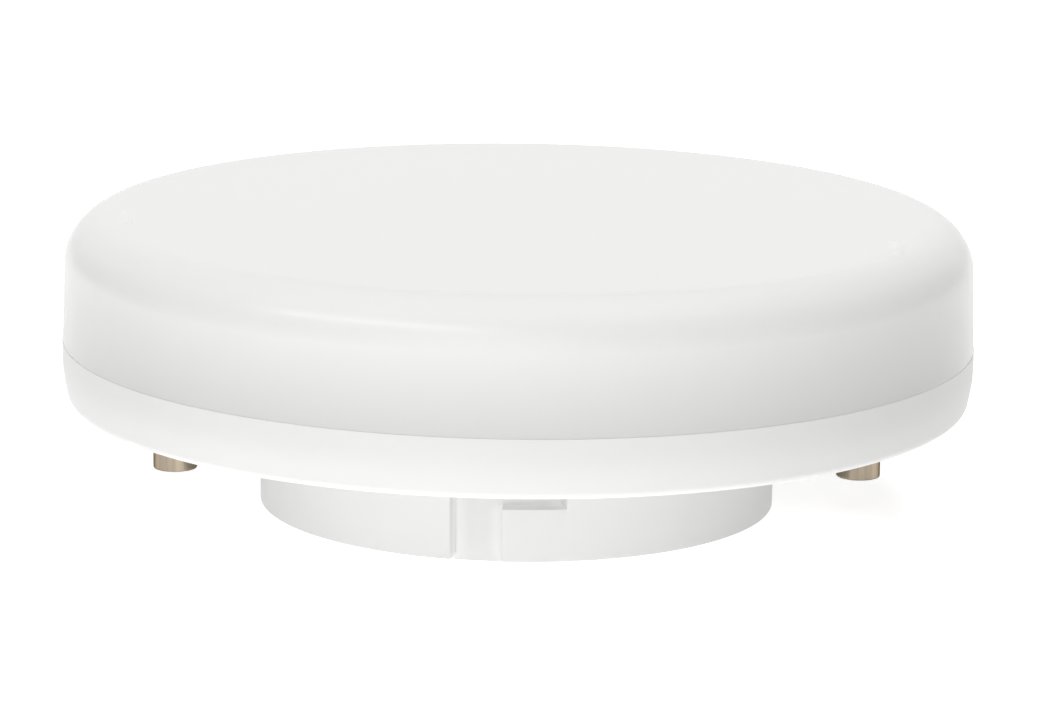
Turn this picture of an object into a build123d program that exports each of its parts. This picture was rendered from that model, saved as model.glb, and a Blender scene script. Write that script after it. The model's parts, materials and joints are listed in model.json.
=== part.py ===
"""LED disc lamp with a two-pin twist-lock base, modelled as it comes apart on a bench.

An opal cover plugs into a white moulded base. The base's round boss goes into the lampholder,
two headed pins beside it make contact, and two L-shaped key grooves in it lock the lamp by a
short turn. Inside are the driver board, a heat spreader and the board that carries the LEDs.

Millimetres, +Z up. The origin is the centre of the boss's bottom face, the pins lie along X,
and one key groove faces -Y. Angles round the axis are degrees from -Y, positive towards +X.
"""

from build123d import *
import os
from math import degrees, radians, tan

# Outside form
disc_d = 70.0  # base ring, the widest part of the lamp
ring_h = 4.5  # base ring, from the flange's underside up to the seam
ring_lean = 10.0  # lean of the ring's lower wall, in towards its foot, degrees
ring_lean_h = 2.4  # leaning part of the ring, up from the flange's underside
ring_bend_r = 9.0  # soft bend between the ring's upright and leaning walls
ring_foot_r = 0.7  # rounding round the foot of the base ring
boss_d = 39.7  # round boss that the lampholder takes
boss_h = 8.8  # boss, from its bottom face up to the flange
boss_rim_lift = 0.4  # boss's outer wall ends this far above its face, where the grooves run out
boss_foot_r = 0.12
cover_step = 0.1  # how far the cover stands in from the base ring at the seam
cover_rise = 9.6  # cover, from the seam up to its light face
cover_draft = 1.4  # lean of the cover's wall, degrees
cover_edge_r = 3.7  # rounding of the cover's top edge
arris_r = 0.06  # small rounding of moulded rims

# Walls of the mouldings
cover_wall = 1.5
ring_wall = 1.6
flange_t = 1.5
boss_wall = 1.6
boss_floor_t = 1.6
rooted = 0.4  # how far a rib or post is sunk into the wall that it grows from

# Cover spigot and its snap lugs
spigot_wall = 1.0
spigot_clear = 0.1  # spigot to base ring, all round
spigot_gap = 0.8  # spigot's lower rim to the flange
spigot_root_h = 0.8  # thickened root of the spigot above the seam
snap_count = 4
snap_w = 5.0
snap_h = 0.7
snap_reach = 0.4
snap_clear = 0.12

# Raised index marks on the light face, ridges with a steeper slope towards the axis
marks = ((-81.5, 30.1, 0.0), (65.3, 30.6, 12.0))  # angle, circle and twist of each
mark_l = 6.4
mark_in = 0.7  # crest, out from the inner foot
mark_out = 0.9  # outer foot, out from the crest
mark_h = 0.12

# Key grooves in the boss
groove_count = 2
groove_depth = 1.6
channel_w = 3.85  # upright channel, measured round the boss
channel_turn = -8.6  # middle of the upright channel
leg_l = 4.8  # locking leg beyond the channel, measured round the boss
leg_h = 4.4  # locking leg, down from the flange

# Contact pins
pin_pitch = 53.0
pin_reach = 6.4  # pin, down from the flange
pin_head_d = 3.4
pin_head_h = 2.2
pin_round = 0.15
pin_neck_d = 2.4
pin_shoulder_d = 4.6
pin_shoulder_t = 0.8
pin_shank_d = 2.8
pin_rivet_d = 4.0  # end that is spread over the flange inside
pin_rivet_t = 0.5
pin_hole_clear = 0.05
collar_d = 7.0  # raised ring on the flange round each pin
collar_h = 0.8

# Leads
lead_d = 1.2
lead_rest = 0.05  # a lead above the face that it lies on
lead_gap = 0.3  # room above a mains lead
mains_lead_tail = 0.8  # mains lead, past the pin's axis
mains_lead_bend = 3.0
mains_lead_edge = 1.5  # mains lead, in from the driver board's edge
led_lead_pitch = 2.6
led_lead_bend = 1.4
led_lead_out = 7.0  # end of an LED lead, out from the lamp's axis
lead_hole_clear = 0.6

# Flat stack above the flange
plate_clear = 0.5  # stack to spigot, all round
film_t = 0.3
spreader_t = 0.8
led_board_t = 1.0
led_board_margin = 0.6  # LED board, in from the spreader's edge
rib_w = 1.2
rib_margin = 0.8  # support rib, in from the stack's edge
post_d = 5.0
screw_count = 3
screw_turn = 60.0  # first screw
screw_d = 2.1
screw_head_d = 4.0
screw_head_h = 1.4
screw_slot_w = 0.6
screw_slot_l = 2.4
screw_slot_t = 0.7
screw_round = 0.3
screw_bite = 0.5  # screw, below the flange's inner face
screw_tip_gap = 0.2
screw_clear = 0.05  # screw in its post
screw_hole_clear = 0.25  # screw in the stack

# LEDs
led_l = 3.5
led_w = 2.8
led_h = 0.7
led_rim = 0.45  # frame round an LED's window
led_window_t = 0.15
led_rings = ((9, 0.39), (18, 0.72))  # how many, and their circle as a share of the board's radius

# Driver board, and places on it as shares of its radius
driver_t = 1.0
driver_lift = 1.6  # board above the boss's floor
driver_clear = 0.35
standoff_count = 4
standoff_w = 4.0
standoff_under = 1.4  # how far a standoff reaches under the board
smoothing_at = (-0.50, 0.06)
output_at = (0.48, 0.0)
choke_at = (0.0, -0.60)
fuse_at = (0.0, 0.76)
film_capacitor_at = (0.48, 0.56)
bridge_at = (0.0, 0.42)
driver_chip_at = (-0.44, -0.56)
diode_at = (0.46, -0.52)
chip_resistors_at = ((0.80, -0.30), (0.80, 0.30), (-0.82, -0.28), (-0.82, 0.28))

# Driver components
smoothing_d = 6.3
smoothing_l = 11.0
output_d = 5.0
output_l = 8.0
can_round = 0.4
can_bead_at = 1.6  # crimped bead, in from the sealed end
can_bead_depth = 0.35
can_pin_pitch = 2.0
wire_d = 0.6  # component wires
wire_out = 1.6  # wire, from a component's end to where it drops to the board
wire_bend = 0.7
choke_d = 7.0
choke_h = 6.0
choke_flange_t = 1.2
choke_core_d = 3.4
winding_d = 6.2
winding_clear = 0.05
fuse_d = 2.5
fuse_l = 6.5
fuse_cap_l = 1.3
fuse_waist = 0.25
film_capacitor_l = 6.0
film_capacitor_w = 2.6
film_capacitor_h = 5.8
film_capacitor_round = 0.6
bridge_l = 4.7
bridge_w = 3.9
bridge_h = 2.5
driver_chip_l = 4.9
driver_chip_w = 3.9
driver_chip_h = 1.5
diode_l = 4.4
diode_w = 2.6
diode_h = 2.2
chip_edge = 0.3  # bevel of moulded chips
chip_leg_t = 0.2
chip_leg_out = 1.0
chip_leg_w = 0.5
bridge_legs = 2  # legs on each long side of a chip
driver_chip_legs = 4
diode_legs = 1
resistor_l = 3.1
resistor_w = 1.6
resistor_h = 0.6

# Radii and heights that follow
disc_r = disc_d / 2
boss_r = boss_d / 2
flange_z = boss_h
flange_top = flange_z + flange_t
seam_z = flange_z + ring_h
top_z = seam_z + cover_rise
cover_r = disc_r - cover_step
ring_in_r = disc_r - ring_wall
spigot_r = ring_in_r - spigot_clear
spigot_in_r = spigot_r - spigot_wall
spigot_z = flange_top + spigot_gap
snap_z = (spigot_z + seam_z - snap_h) / 2
cavity_r = boss_r - boss_wall
groove_r = boss_r - groove_depth
pad_r = groove_r - boss_wall
pin_x = pin_pitch / 2
pin_tip_z = flange_z - pin_reach
collar_z = flange_z - collar_h
shoulder_z = collar_z - pin_shoulder_t
stack_r = spigot_in_r - plate_clear
mains_lead_z = flange_top + pin_rivet_t + lead_rest + lead_d / 2
stack_z = mains_lead_z + lead_d / 2 + lead_gap
spreader_z = stack_z + film_t
led_board_z = spreader_z + spreader_t
led_z = led_board_z + led_board_t
led_board_r = stack_r - led_board_margin
lead_hole_r = led_lead_pitch / 2 + lead_d / 2 + lead_hole_clear
rib_r = stack_r - rib_margin
post_at = rib_r - post_d / 2
screw_tip_z = flange_top - screw_bite
driver_z = boss_floor_t + driver_lift
driver_top = driver_z + driver_t
driver_r = pad_r - driver_clear

ON_FLOOR = (Align.CENTER, Align.CENTER, Align.MIN)
ON_CEILING = (Align.CENTER, Align.CENTER, Align.MAX)


# Shared forms


def face_of(*corners):
    """Closed face on XZ from (radius, height, rounding) corners."""
    points = [(r, z) for r, z, _ in corners]
    path = FilletPolyline(*points, radius=[rounding for _, _, rounding in corners], close=True)
    return Plane.XZ * make_face(path)


def turned(*corners):
    """Solid of revolution about Z."""
    return revolve(face_of(*corners), Axis.Z)


def post(radius, low, high):
    """Upright round bar about Z."""
    return Pos(0, 0, low) * Cylinder(radius, high - low, align=ON_FLOOR)


def ring_sector(r_in, r_out, low, high, start, sweep):
    """Piece of an upright ring about Z, between two angles."""
    section = face_of((r_in, low, 0), (r_out, low, 0), (r_out, high, 0), (r_in, high, 0))
    return Rot(0, 0, start - 90) * revolve(section, Axis.Z, sweep)


def round_the_axis(count, first=0.0):
    """Even turns about Z, the first one at the given angle."""
    return [Rot(0, 0, first + 360 * i / count) for i in range(count)]


def at_pins(shape):
    """A copy of a shape at each contact pin."""
    return [Pos(side * pin_x, 0, 0) * shape for side in (-1, 1)]


def at_screws(shape):
    """A copy of a shape at each screw."""
    return [turn * Pos(0, -post_at, 0) * shape for turn in round_the_axis(screw_count, screw_turn)]


def bent_wire(diameter, bend, *points):
    """Round wire along straight runs that bends join."""
    path = FilletPolyline(*points, radius=[bend] * (len(points) - 2))
    return sweep(Plane(origin=path @ 0, z_dir=path % 0) * Circle(diameter / 2), path)


def on_driver(place, shape):
    """A shape stood on the driver board."""
    return Pos(place[0] * driver_r, place[1] * driver_r, driver_top) * shape


# Mouldings


def diffuser_cover():
    """Opal cover: flat light face, rounded edge, leaning wall, spigot with snap lugs."""
    lean = tan(radians(cover_draft))
    root_z = seam_z + spigot_root_h
    slope_z = root_z + cover_wall

    def wall_r(z):
        return cover_r - (z - seam_z) * lean

    cover = turned(
        (0, top_z, 0),
        (wall_r(top_z), top_z, cover_edge_r),
        (cover_r, seam_z, arris_r),
        (spigot_r, seam_z, 0),
        (spigot_r, spigot_z, arris_r),
        (spigot_in_r, spigot_z, arris_r),
        (spigot_in_r, root_z, 0),
        (wall_r(slope_z) - cover_wall, slope_z, 0),
        (wall_r(top_z) - cover_wall, top_z - cover_wall, cover_edge_r - cover_wall),
        (0, top_z - cover_wall, 0),
    )
    sweep_deg = degrees(snap_w / spigot_r)
    lug = ring_sector(
        spigot_r - rooted, spigot_r + snap_reach, snap_z, snap_z + snap_h, -sweep_deg / 2, sweep_deg
    )
    cover += [turn * lug for turn in round_the_axis(snap_count, 180 / snap_count)]
    root = -cover_wall / 2
    section = Polyline(
        (-mark_out, root), (-mark_out, 0), (0, mark_h), (mark_in, 0), (mark_in, root), close=True
    )
    ridge = extrude(Plane.YZ * make_face(section), mark_l / 2, both=True)
    return cover + [
        Rot(0, 0, angle) * Pos(0, -circle, top_z) * Rot(0, 0, twist) * ridge
        for angle, circle, twist in marks
    ]


def key_groove():
    """Space of one L-shaped key groove: an upright channel and a leg under the flange."""
    channel_deg = degrees(channel_w / boss_r)
    leg_deg = degrees(leg_l / boss_r)
    start = channel_turn - channel_deg / 2
    outside = boss_r + groove_depth
    channel = ring_sector(groove_r, outside, -groove_depth, flange_z, start, channel_deg)
    leg = ring_sector(groove_r, outside, flange_z - leg_h, flange_z, start, channel_deg + leg_deg)
    return channel + leg


def groove_pad():
    """Wall that stands into the boss behind one key groove."""
    margin = degrees(boss_wall / boss_r)
    span = degrees((channel_w + leg_l) / boss_r) + 2 * margin
    start = channel_turn - degrees(channel_w / 2 / boss_r) - margin
    return ring_sector(pad_r, cavity_r + rooted, 0, flange_top + rooted, start, span)


def base_housing():
    """White base: ring, flange and hollow boss, with grooves, pin collars, rib and posts."""
    ring_inset = ring_lean_h * tan(radians(ring_lean))
    base = turned(
        (0, 0, 0),
        (groove_r, 0, boss_foot_r),
        (groove_r, boss_rim_lift, 0),
        (boss_r, boss_rim_lift, boss_foot_r),
        (boss_r, flange_z, 0),
        (disc_r - ring_inset, flange_z, ring_foot_r),
        (disc_r, flange_z + ring_lean_h, ring_bend_r),
        (disc_r, seam_z, arris_r),
        (ring_in_r, seam_z, arris_r),
        (ring_in_r, flange_top, 0),
        (0, flange_top, 0),
    )
    # Turned so that the revolve's seam line falls in a groove, and the boss's wall is whole beside it
    base = Rot(0, 0, channel_turn - 90) * base
    base += at_pins(post(collar_d / 2, collar_z, flange_z + rooted))
    rib = post(rib_r, flange_top - rooted, stack_z) - post(rib_r - rib_w, flange_top - rooted, stack_z)
    base += rib - at_pins(post(pin_rivet_d / 2 + lead_gap, flange_top, stack_z))
    base += at_screws(post(post_d / 2, flange_top - rooted, stack_z))

    room = post(cavity_r, boss_floor_t, flange_top + rooted)
    room -= [turn * groove_pad() for turn in round_the_axis(groove_count)]
    standoff_deg = degrees(standoff_w / cavity_r)
    standoff = ring_sector(
        driver_r - standoff_under, cavity_r + rooted, 0, driver_z, -standoff_deg / 2, standoff_deg
    )
    room -= [turn * standoff for turn in round_the_axis(standoff_count, 180 / standoff_count)]
    base -= room

    base -= [turn * key_groove() for turn in round_the_axis(groove_count)]
    base -= at_pins(post(pin_shank_d / 2 + pin_hole_clear, collar_z, flange_top))
    base -= at_screws(post(screw_d / 2 + screw_clear, screw_tip_z - screw_tip_gap, stack_z))
    pocket_deg = degrees((snap_w + 2 * snap_clear) / spigot_r)
    pocket = ring_sector(
        spigot_r - rooted,
        spigot_r + snap_reach + snap_clear,
        snap_z - snap_clear,
        snap_z + snap_h + snap_clear,
        -pocket_deg / 2,
        pocket_deg,
    )
    return base - [turn * pocket for turn in round_the_axis(snap_count, 180 / snap_count)]


# Contacts and leads


def contact_pin():
    """Turned pin: head, neck, shoulder on the collar, shank and the end spread inside."""
    head_r, neck_r = pin_head_d / 2, pin_neck_d / 2
    shoulder_r, shank_r, rivet_r = pin_shoulder_d / 2, pin_shank_d / 2, pin_rivet_d / 2
    head_z = pin_tip_z + pin_head_h
    rivet_z = flange_top + pin_rivet_t
    return turned(
        (0, pin_tip_z, 0),
        (head_r, pin_tip_z, pin_round),
        (head_r, head_z, pin_round),
        (neck_r, head_z, pin_round),
        (neck_r, shoulder_z, 0),
        (shoulder_r, shoulder_z, pin_round),
        (shoulder_r, collar_z, 0),
        (shank_r, collar_z, 0),
        (shank_r, flange_top, 0),
        (rivet_r, flange_top, 0),
        (rivet_r, rivet_z, pin_round),
        (0, rivet_z, 0),
    )


def mains_lead(side):
    """Lead from a pin's spread end over the boss's rim and down to the driver board."""
    inner_x = side * (driver_r - mains_lead_edge)
    return bent_wire(
        lead_d,
        mains_lead_bend,
        (side * (pin_x + mains_lead_tail), 0, mains_lead_z),
        (inner_x, 0, mains_lead_z),
        (inner_x, 0, driver_top),
    )


def led_lead(side):
    """Lead from the driver board up through the stack and out over the LED board."""
    lead_x = side * led_lead_pitch / 2
    lying_z = led_z + lead_rest + lead_d / 2
    return bent_wire(
        lead_d,
        led_lead_bend,
        (lead_x, 0, driver_top),
        (lead_x, 0, lying_z),
        (side * led_lead_out, 0, lying_z),
    )


# Flat stack


def stack_disc(radius, low, thickness):
    """Disc of the stack, with the hole for the LED leads and a hole for each screw."""
    blank = post(radius, low, low + thickness) - post(lead_hole_r, low, low + thickness)
    return blank - at_screws(post(screw_d / 2 + screw_hole_clear, low, low + thickness))


def led_packages():
    """Surface-mount LEDs, each a frame with a sunk window, in rings on the LED board."""
    window = Box(led_l - 2 * led_rim, led_w - 2 * led_rim, led_window_t, align=ON_CEILING)
    led = Box(led_l, led_w, led_h, align=ON_FLOOR) - Pos(0, 0, led_h) * window
    leds = []
    for count, share in led_rings:
        place = Pos(0, -share * led_board_r, led_z)
        leds += [turn * place * led for turn in round_the_axis(count)]
    return Compound(leds)


def board_screws():
    """Pan-head screws that hold the stack to the posts."""
    slot = Box(screw_slot_l, screw_slot_w, screw_slot_t, align=ON_CEILING)
    cross = slot + Rot(0, 0, 90) * slot
    screw = turned(
        (0, screw_tip_z, 0),
        (screw_d / 2, screw_tip_z, screw_round),
        (screw_d / 2, led_z, 0),
        (screw_head_d / 2, led_z, 0),
        (screw_head_d / 2, led_z + screw_head_h, screw_head_h / 2),
        (0, led_z + screw_head_h, 0),
    )
    return Compound(at_screws(screw - Pos(0, 0, led_z + screw_head_h) * cross))


# Driver components, each seated at z = 0


def can_capacitor(diameter, length):
    """Lying can with a crimped bead at its sealed end, on +Y, and two bent wires."""
    r = diameter / 2
    can = turned(
        (0, 0, 0),
        (r, 0, can_round),
        (r, can_bead_at - can_bead_depth, 0),
        (r - can_bead_depth, can_bead_at, 0),
        (r, can_bead_at + can_bead_depth, 0),
        (r, length, can_round),
        (0, length, 0),
    )
    end_y = length / 2
    lying = Pos(0, end_y, r) * Rot(90, 0, 0) * can
    wires = [
        bent_wire(
            wire_d,
            wire_bend,
            (side * can_pin_pitch / 2, end_y - rooted, r),
            (side * can_pin_pitch / 2, end_y + wire_out, r),
            (side * can_pin_pitch / 2, end_y + wire_out, 0),
        )
        for side in (-1, 1)
    ]
    return lying + wires


def choke_core():
    """Ferrite drum of the choke."""
    r, core_r = choke_d / 2, choke_core_d / 2
    return turned(
        (0, 0, 0),
        (r, 0, can_round),
        (r, choke_flange_t, 0),
        (core_r, choke_flange_t, 0),
        (core_r, choke_h - choke_flange_t, 0),
        (r, choke_h - choke_flange_t, 0),
        (r, choke_h, can_round),
        (0, choke_h, 0),
    )


def choke_winding():
    """Copper winding between the drum's flanges."""
    low = choke_flange_t + winding_clear
    high = choke_h - choke_flange_t - winding_clear
    return post(winding_d / 2, low, high) - post(choke_core_d / 2 + winding_clear, low, high)


def fuse_resistor():
    """Axial resistor along X, waisted between its end caps, with two bent wires."""
    r, half = fuse_d / 2, fuse_l / 2
    body = turned(
        (0, -half, 0),
        (r, -half, can_round),
        (r, fuse_cap_l - half, 0),
        (r - fuse_waist, fuse_cap_l - half + fuse_waist, 0),
        (r - fuse_waist, half - fuse_cap_l - fuse_waist, 0),
        (r, half - fuse_cap_l, 0),
        (r, half, can_round),
        (0, half, 0),
    )
    wires = [
        bent_wire(
            wire_d,
            wire_bend,
            (side * (half - rooted), 0, r),
            (side * (half + wire_out), 0, r),
            (side * (half + wire_out), 0, 0),
        )
        for side in (-1, 1)
    ]
    return Pos(0, 0, r) * Rot(0, 90, 0) * body + wires


def film_capacitor():
    """Dipped film capacitor standing on the board."""
    body = Box(film_capacitor_l, film_capacitor_w, film_capacitor_h, align=ON_FLOOR)
    return fillet(body.edges().filter_by(Axis.Z) + body.edges().group_by(Axis.Z)[-1], film_capacitor_round)


def leaded_chip(length, width, height, legs):
    """Moulded chip along X with bent legs, evenly spaced, on each long side."""
    body = Box(length, width, height, align=ON_FLOOR)
    body = chamfer(body.edges().group_by(Axis.Z)[-1], chip_edge)
    side, mid, t = width / 2, height / 2, chip_leg_t
    knee = side + chip_leg_out / 2
    leg_face = make_face(
        Polyline(
            (side - rooted, mid),
            (knee, mid),
            (knee, t),
            (side + chip_leg_out, t),
            (side + chip_leg_out, 0),
            (knee - t, 0),
            (knee - t, mid - t),
            (side - rooted, mid - t),
            close=True,
        )
    )
    leg = extrude(Plane.YZ * leg_face, chip_leg_w / 2, both=True)
    row = [Pos(length * ((i + 0.5) / legs - 0.5), 0, 0) * leg for i in range(legs)]
    return body + row + [Rot(0, 0, 180) * one for one in row]


def chip_resistors():
    """Small flat resistors along the board's two sides."""
    chip = Box(resistor_w, resistor_l, resistor_h, align=ON_FLOOR)
    return Compound([on_driver(place, chip) for place in chip_resistors_at])


pin_left, pin_right = at_pins(contact_pin())
nodes = {
    "diffuser_cover": diffuser_cover(),
    "base_housing": base_housing(),
    "contact_pin_left": pin_left,
    "contact_pin_right": pin_right,
    "insulating_film": stack_disc(stack_r, stack_z, film_t),
    "heat_spreader": stack_disc(stack_r, spreader_z, spreader_t),
    "led_board": stack_disc(led_board_r, led_board_z, led_board_t),
    "led_packages": led_packages(),
    "board_screws": board_screws(),
    "driver_board": post(driver_r, driver_z, driver_top),
    "smoothing_capacitor": on_driver(smoothing_at, can_capacitor(smoothing_d, smoothing_l)),
    "output_capacitor": on_driver(output_at, can_capacitor(output_d, output_l)),
    "choke_core": on_driver(choke_at, choke_core()),
    "choke_winding": on_driver(choke_at, choke_winding()),
    "fuse_resistor": on_driver(fuse_at, fuse_resistor()),
    "film_capacitor": on_driver(film_capacitor_at, film_capacitor()),
    "bridge_rectifier": on_driver(bridge_at, leaded_chip(bridge_l, bridge_w, bridge_h, bridge_legs)),
    "driver_chip": on_driver(
        driver_chip_at, leaded_chip(driver_chip_l, driver_chip_w, driver_chip_h, driver_chip_legs)
    ),
    "freewheel_diode": on_driver(diode_at, leaded_chip(diode_l, diode_w, diode_h, diode_legs)),
    "chip_resistors": chip_resistors(),
    "mains_lead_left": mains_lead(-1),
    "mains_lead_right": mains_lead(1),
    "led_lead_left": led_lead(-1),
    "led_lead_right": led_lead(1),
}

os.makedirs("parts", exist_ok=True)
for name, shape in nodes.items():
    export_step(shape, f"parts/{name}.step")
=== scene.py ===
"""Looks of the LED disc lamp, laid out as an add-on: mouldings, pins, inner parts and studio.

Metres, in the parts' own frame: +Z up, the lamp stands on its boss at z = 0, and angles round
the axis are counted from -Y towards +X.
"""

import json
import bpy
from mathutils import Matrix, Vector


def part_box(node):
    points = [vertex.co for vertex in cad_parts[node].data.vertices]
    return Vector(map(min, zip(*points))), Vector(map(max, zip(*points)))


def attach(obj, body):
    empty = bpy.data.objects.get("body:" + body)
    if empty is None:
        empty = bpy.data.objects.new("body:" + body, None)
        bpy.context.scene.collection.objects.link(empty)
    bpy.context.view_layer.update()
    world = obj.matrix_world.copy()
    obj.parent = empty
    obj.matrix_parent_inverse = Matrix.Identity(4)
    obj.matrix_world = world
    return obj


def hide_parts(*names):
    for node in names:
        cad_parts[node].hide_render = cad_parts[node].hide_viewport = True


bl_info = {
    "name": "LED Disc Lamp",
    "version": (1, 0, 0),
    "blender": (4, 5, 0),
    "location": "View3D > Sidebar > Disc Lamp",
    "description": "Models and finishes a two-pin LED disc lamp and sets up its studio",
    "category": "Object",
}

from math import ceil, cos, pi, radians, sin, tan
from types import SimpleNamespace

import bmesh
import bpy
from bpy.props import FloatProperty, FloatVectorProperty, IntProperty, PointerProperty
from mathutils import Matrix, Vector

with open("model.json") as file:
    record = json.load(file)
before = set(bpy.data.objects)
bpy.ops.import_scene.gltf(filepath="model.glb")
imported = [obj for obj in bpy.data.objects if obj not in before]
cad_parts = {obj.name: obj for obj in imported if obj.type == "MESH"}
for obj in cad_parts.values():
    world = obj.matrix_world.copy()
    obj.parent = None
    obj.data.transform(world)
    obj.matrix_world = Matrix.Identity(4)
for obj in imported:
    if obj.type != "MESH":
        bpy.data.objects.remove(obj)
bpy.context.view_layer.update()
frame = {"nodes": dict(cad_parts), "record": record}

MM = 0.001
MICRON = 0.000001
BODY = "root"
SHARP_ANGLE = radians(35)

# Fineness of the meshes: angle between faces round an edge, faces round a form and rows across it
ARC_STEP = radians(5)
BAR_COLUMNS, POST_COLUMNS, BORE_COLUMNS, COIL_COLUMNS = 96, 64, 48, 72
PIECE_COLUMNS = 12
ROOT_ROWS = 4
WIRE_ROWS = 6
EDGE_ROWS = 3

# Painted light in recesses: how near their walls are, and how open they are at their deepest and at their
# edge
RECESS_REACH = 1.5 * MM
RECESS_DEEP, RECESS_OPEN = 0.45, 0.95

# How squarely a face has to look along an axis to count as facing it
SQUARE_ON = 0.7

# What the frame gives
BASE_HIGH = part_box("base_housing")[1]
COVER_LOW, COVER_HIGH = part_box("diffuser_cover")
DRIVER_LOW, DRIVER_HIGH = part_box("driver_board")
STACK_LOW, STACK_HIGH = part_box("insulating_film")
SCREW_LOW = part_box("board_screws")[0]
BOSS_R = next(m["dims"]["r_mm"] for m in frame["record"]["mounts"] if m["name"] == "boss") * MM


def length(label, text, default_mm):
    """Property for a length, its default in millimetres."""
    default = default_mm * MM
    return FloatProperty(
        name=label, description=text, default=default, unit="LENGTH", subtype="DISTANCE", precision=6
    )


def angle(label, text, default_deg):
    """Property for an angle, its default in degrees."""
    return FloatProperty(name=label, description=text, default=radians(default_deg), subtype="ANGLE")


def count(label, text, default, least):
    """Property for a whole number."""
    return IntProperty(name=label, description=text, default=default, min=least)


def number(label, text, default):
    """Property for a plain number."""
    return FloatProperty(name=label, description=text, default=default)


def share(label, text, default):
    """Property for a share between 0 and 1."""
    return FloatProperty(name=label, description=text, default=default, min=0.0, max=1.0, subtype="FACTOR")


def colour(label, text, default):
    """Property for a linear colour."""
    return FloatVectorProperty(
        name=label, description=text, default=default, size=3, min=0.0, max=1.0, subtype="COLOR"
    )


class LampForm(bpy.types.PropertyGroup):
    """Sizes of the mouldings and pins, beside those that the frame gives."""

    columns: count("Columns", "Faces round half a turn", 144, 24)
    arris_r: length("Arris", "Small rounding of moulded rims", 0.02)
    rooted: length("Rooted", "How far a rib or post is sunk into its wall", 0.4)

    cover_rise: length("Cover rise", "Cover, from the seam up to its light face", 9.6)
    cover_draft: angle("Cover draft", "Lean of the cover's wall", 1.82)
    cover_edge_r: length("Cover edge", "Rounding of the cover's top edge", 3.7)
    cover_step: length("Cover step", "Cover, in from the base ring at the seam", 0.03)
    cover_wall: length("Cover wall", "Thickness of the cover", 1.5)
    spigot_wall: length("Spigot wall", "Thickness of the cover's spigot", 1.0)
    spigot_clear: length("Spigot clearance", "Spigot to base ring, all round", 0.1)
    spigot_root_h: length("Spigot root", "Thickened root of the spigot above the seam", 0.8)
    snap_count: count("Snap lugs", "Lugs round the spigot", 4, 2)
    snap_w: length("Snap width", "Width of a snap lug", 5.0)
    snap_h: length("Snap height", "Height of a snap lug", 0.7)
    snap_reach: length("Snap reach", "Snap lug, out from the spigot", 0.4)
    snap_clear: length("Snap clearance", "Snap lug to its pocket", 0.12)
    mark_left: angle("Left mark", "Place of the left index mark round the axis", -81.5)
    mark_left_r: length("Left mark circle", "Radius through the left mark's middle", 30.1)
    mark_right: angle("Right mark", "Place of the right index mark round the axis", 65.3)
    mark_right_r: length("Right mark circle", "Radius through the right mark's middle", 30.6)
    mark_right_twist: angle("Right mark twist", "Right mark's turn from its circle", 22.0)
    mark_l: length("Mark length", "Length of an index mark", 6.4)
    mark_in: length("Mark inner slope", "Mark's crest, out from its inner foot", 0.55)
    mark_out: length("Mark outer slope", "Mark's outer foot, out from its crest", 0.7)
    mark_fade: share("Mark fade", "Part of a mark's half length over which it runs out", 0.5)
    mark_rows: count("Mark rows", "Faces across an index mark", 16, 4)

    ring_wall: length("Ring wall", "Thickness of the base ring", 1.6)
    ring_lean: angle("Ring lean", "Lean of the ring's lower wall, in towards its foot", 10.0)
    ring_lean_h: length("Ring lean height", "Leaning part of the ring, up from the flange", 2.4)
    ring_bend_r: length("Ring bend", "Soft bend between the ring's two walls", 9.0)
    ring_rim_r: length("Ring rim", "Rounding of the ring's upper rim, at the seam", 0.015)
    ring_foot_r: length("Ring foot", "Rounding round the foot of the base ring", 0.7)
    flange_t: length("Flange", "Thickness of the flange", 1.5)
    boss_h: length("Boss height", "Boss, from its face up to the flange", 8.8)
    boss_rim_lift: length("Boss rim", "Lower rim of the boss's outer wall, above its face", 0.4)
    boss_foot_r: length("Boss foot", "Rounding round the boss's face and rim", 0.12)
    boss_wall: length("Boss wall", "Thickness of the boss's wall", 1.6)
    boss_floor_t: length("Boss floor", "Thickness of the boss's floor", 1.6)
    groove_depth: length("Groove depth", "Key groove, in from the boss's wall", 1.6)
    channel_w: length("Channel width", "Upright channel, measured round the boss", 3.85)
    channel_turn: angle("Channel place", "Middle of the upright channel", -8.6)
    leg_l: length("Leg length", "Locking leg beyond the channel, measured round the boss", 4.8)
    leg_h: length("Leg height", "Locking leg, down from the flange", 4.4)
    groove_edge_r: length("Groove edge", "Softening of the groove's outer edges", 0.06)
    groove_root_r: length("Groove root", "Rounding along the groove's inner edges", 0.3)
    groove_step: length("Groove step", "Faces across the groove, measured round the boss", 0.075)
    collar_d: length("Collar", "Raised ring on the flange round a pin", 7.0)
    collar_h: length("Collar height", "Raised ring, down from the flange", 0.8)
    rib_w: length("Rib", "Thickness of the support rib", 1.2)
    rib_margin: length("Rib margin", "Support rib, in from the stack's edge", 0.8)
    post_d: length("Post", "Screw post", 5.0)
    post_bore: length("Post bore", "Hole in a screw post", 2.2)
    post_bore_gap: length("Post bore gap", "Post's hole, below the screw's tip", 0.2)
    screw_count: count("Screws", "Screws round the stack", 3, 2)
    screw_turn: angle("First screw", "Place of the first screw round the axis", 60.0)
    standoff_count: count("Standoffs", "Rests for the driver board", 4, 3)
    standoff_w: length("Standoff", "Width of a standoff", 4.0)
    standoff_under: length("Standoff reach", "Standoff, in under the driver board", 1.4)

    pin_head_d: length("Pin head", "Pin's head across", 3.4)
    pin_head_h: length("Pin head height", "Height of the pin's head", 2.2)
    pin_round: length("Pin rounding", "Rounding of the pin's edges", 0.15)
    pin_neck_d: length("Pin neck", "Pin's neck across", 2.4)
    pin_shoulder_t: length("Pin shoulder", "Thickness of the shoulder on the collar", 0.8)
    pin_shank_d: length("Pin shank", "Pin through the flange", 2.8)
    pin_rivet_d: length("Pin spread end", "End that is spread over the flange", 4.0)
    pin_hole_clear: length("Pin clearance", "Pin to its hole, all round", 0.05)


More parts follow.
